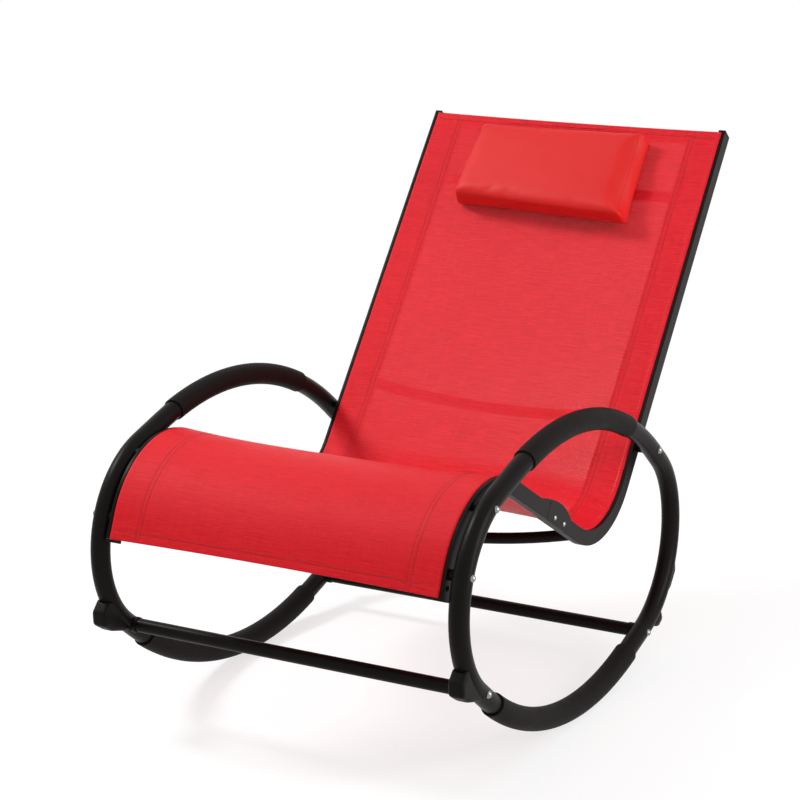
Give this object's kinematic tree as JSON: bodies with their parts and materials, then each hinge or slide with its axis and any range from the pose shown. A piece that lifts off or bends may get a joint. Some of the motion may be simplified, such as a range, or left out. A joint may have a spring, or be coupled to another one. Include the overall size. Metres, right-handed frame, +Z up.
{
  "type": "outdoor rocking chair",
  "caption": "Rocking lounge chair: a mesh sling seat with a head pillow, held between closed tube hoops that serve as arm rest above and rocker below.",
  "frame": {"origin": "on the floor, under the middle of the chair's overall box", "axes": "+X to the sitter's left, +Y to the rear, +Z up; the chair faces -Y"},
  "size_m": [0.6376, 1.0573, 0.8359],
  "materials": {
    "frame_paint": "satin",
    "soft_grip": "matte",
    "black_plastic": "satin",
    "bright_steel": "polished",
    "red_mesh": "matte",
    "red_cloth": "matte",
    "hook_tape": "matte"
  },
  "bodies": {
    "chair": {"hoop_upper_left": "frame_paint", "hoop_upper_right": "frame_paint", "hoop_lower_left": "frame_paint", "hoop_lower_right": "frame_paint", "seat_rail_left": "frame_paint", "seat_rail_right": "frame_paint", "back_rail_left": "frame_paint", "back_rail_right": "frame_paint", "hoop_spigots": "frame_paint", "front_cross_bar": "frame_paint", "rear_cross_bar": "frame_paint", "front_spreader": "frame_paint", "hip_spreader": "frame_paint", "lumbar_spreader": "frame_paint", "back_spreader": "frame_paint", "spreader_screws": "frame_paint", "arm_grip_left": "soft_grip", "arm_grip_right": "soft_grip", "rocker_sleeve_left": "soft_grip", "rocker_sleeve_right": "soft_grip", "front_stop_left": "black_plastic", "front_stop_right": "black_plastic", "rear_stop_left": "black_plastic", "rear_stop_right": "black_plastic", "rear_pad_left": "black_plastic", "rear_pad_right": "black_plastic", "rail_front_cap_left": "black_plastic", "rail_front_cap_right": "black_plastic", "rail_top_cap_left": "black_plastic", "rail_top_cap_right": "black_plastic", "seat_rod_left": "black_plastic", "seat_rod_right": "black_plastic", "back_rod_left": "black_plastic", "back_rod_right": "black_plastic", "cross_bar_saddles": "black_plastic", "cross_bar_plugs": "black_plastic", "rail_spacers": "black_plastic", "cross_bar_bolts": "bright_steel", "rail_bolts": "bright_steel", "rail_nuts": "bright_steel", "splice_screws": "bright_steel", "splice_nuts": "bright_steel", "sling": "red_mesh", "sling_loop_strips": "hook_tape"},
    "pillow": {"head_pillow": "red_cloth", "pillow_hook_strips": "hook_tape"}
  },
  "joints": [
    {"name": "pillow_slide", "type": "slide", "parent": "chair", "child": "pillow", "axis": [0, 0.6173, 0.7867], "range_m": [-0.035, 0.015]}
  ]
}
